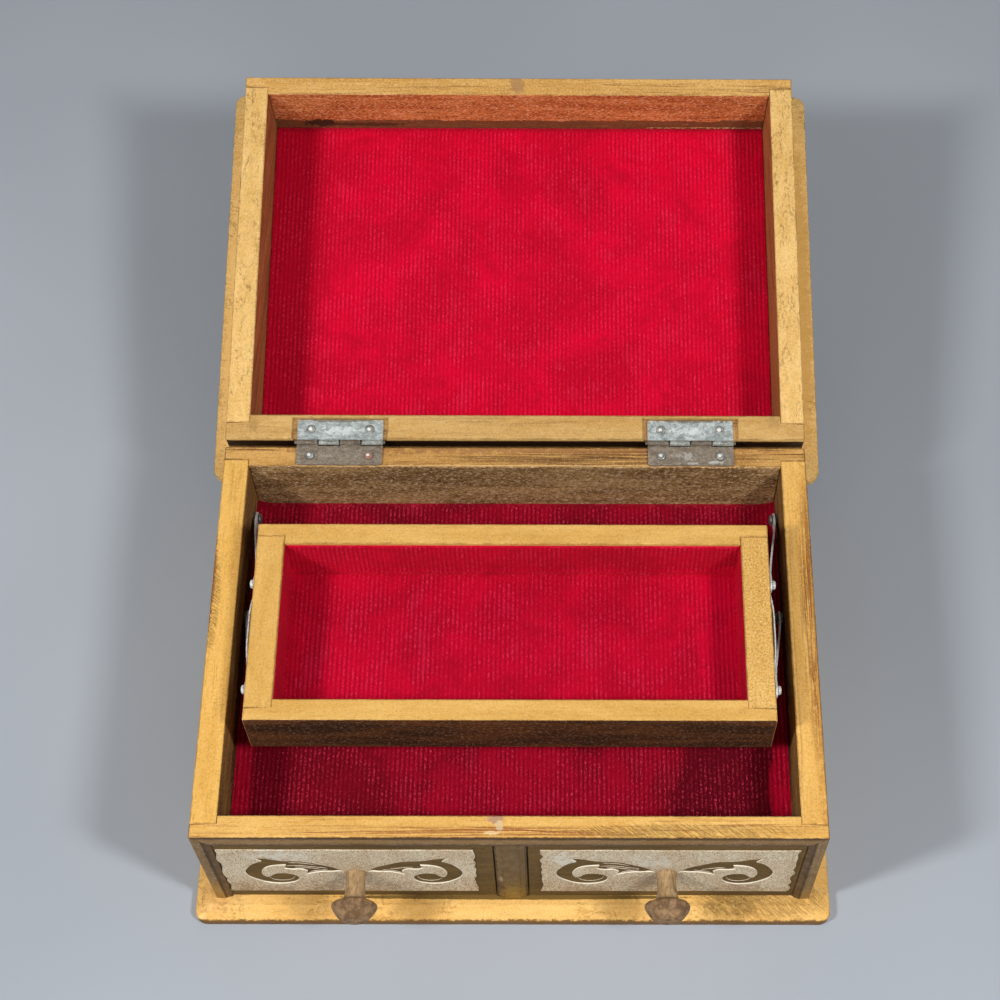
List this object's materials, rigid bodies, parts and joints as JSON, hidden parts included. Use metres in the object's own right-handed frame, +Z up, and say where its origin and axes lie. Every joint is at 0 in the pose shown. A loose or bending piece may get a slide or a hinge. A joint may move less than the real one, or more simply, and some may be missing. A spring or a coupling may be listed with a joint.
{
  "type": "ring box with drawers",
  "caption": "Wooden ring box with a hinged lid, a lined lift-up tray on steel arms, lined compartment and front drawers with turned knobs.",
  "frame": {"origin": "centre of the base board's underside, where the box rests", "axes": "+Z up, +X to the box's right seen from the drawers, +Y from the drawers to the hinges"},
  "size_m": [0.2186, 0.3141, 0.0963],
  "materials": {
    "gold_wood": "worn gold paint over open grain",
    "dark_wood": "darkened gold-brown paint",
    "bare_wood": "bare grainy wood",
    "silvered_wood": "silver-grey field with carved brown scrolls",
    "knob_wood": "grey-brown paint, rubbed",
    "velvet": "ribbed crimson velvet",
    "steel": "dull galvanised steel"
  },
  "bodies": {
    "case": {"base_board": "gold_wood", "side_wall_left": "gold_wood", "side_wall_right": "gold_wood", "back_wall": "gold_wood", "front_rail": "gold_wood", "stile_left": "dark_wood", "stile_right": "dark_wood", "centre_stile": "dark_wood", "bay_divider": "bare_wood", "compartment_floor": "bare_wood", "compartment_pad": "velvet", "case_leaf_left": "steel", "case_leaf_right": "steel", "hinge_pin_left": "steel", "hinge_pin_right": "steel", "case_leaf_nails": "steel", "arm_screws": "steel"},
    "lid": {"lid_board": "gold_wood", "lid_front_wall": "gold_wood", "lid_back_wall": "gold_wood", "lid_wall_left": "gold_wood", "lid_wall_right": "gold_wood", "lid_pad": "velvet", "lid_leaf_left": "steel", "lid_leaf_right": "steel", "lid_leaf_nails": "steel"},
    "rear_arms": {"rear_arm_left": "steel", "rear_arm_right": "steel"},
    "tray": {"tray_front_wall": "gold_wood", "tray_back_wall": "gold_wood", "tray_end_left": "gold_wood", "tray_end_right": "gold_wood", "tray_bottom": "bare_wood", "tray_pad": "velvet", "tray_wall_lining": "velvet", "tray_bar_left": "steel", "tray_bar_right": "steel", "tray_rivets": "steel"},
    "front_arms": {"front_arm_left": "steel", "front_arm_right": "steel"},
    "drawer_left": {"drawer_left_front": "silvered_wood", "drawer_left_inner_front": "bare_wood", "drawer_left_inner_side": "bare_wood", "drawer_left_outer_side": "bare_wood", "drawer_left_back": "bare_wood", "drawer_left_bottom": "bare_wood", "drawer_left_pad": "velvet", "drawer_left_knob": "knob_wood", "drawer_left_knob_screw": "steel"},
    "drawer_right": {"drawer_right_front": "silvered_wood", "drawer_right_inner_front": "bare_wood", "drawer_right_inner_side": "bare_wood", "drawer_right_outer_side": "bare_wood", "drawer_right_back": "bare_wood", "drawer_right_bottom": "bare_wood", "drawer_right_pad": "velvet", "drawer_right_knob": "knob_wood", "drawer_right_knob_screw": "steel"}
  },
  "joints": [
    {"name": "lid_close", "type": "hinge", "parent": "case", "child": "lid", "pos_m": [0, 0.0726, 0.0694], "axis": [1, 0, 0], "range_deg": [0, 169.5]},
    {"name": "tray_lift", "type": "hinge", "parent": "case", "child": "rear_arms", "pos_m": [0, 0.053, 0.0492], "axis": [-1, 0, 0], "range_deg": [-24, 9]},
    {"name": "tray_level", "type": "hinge", "parent": "rear_arms", "child": "tray", "pos_m": [0, 0.01785, 0.06829], "axis": [-1, 0, 0], "range_deg": [-9, 24]},
    {"name": "front_arm_swing", "type": "hinge", "parent": "case", "child": "front_arms", "pos_m": [0, 0.0145, 0.0492], "axis": [-1, 0, 0], "range_deg": [-24, 9]},
    {"name": "drawer_left_slide", "type": "slide", "parent": "case", "child": "drawer_left", "axis": [0, -1, 0], "range_m": [0, 0.08]},
    {"name": "drawer_right_slide", "type": "slide", "parent": "case", "child": "drawer_right", "axis": [0, -1, 0], "range_m": [0, 0.08]}
  ],
  "couplings": [
    {"joint": "tray_level", "follows": "tray_lift", "ratio": -1},
    {"joint": "front_arm_swing", "follows": "tray_lift", "ratio": 1}
  ]
}
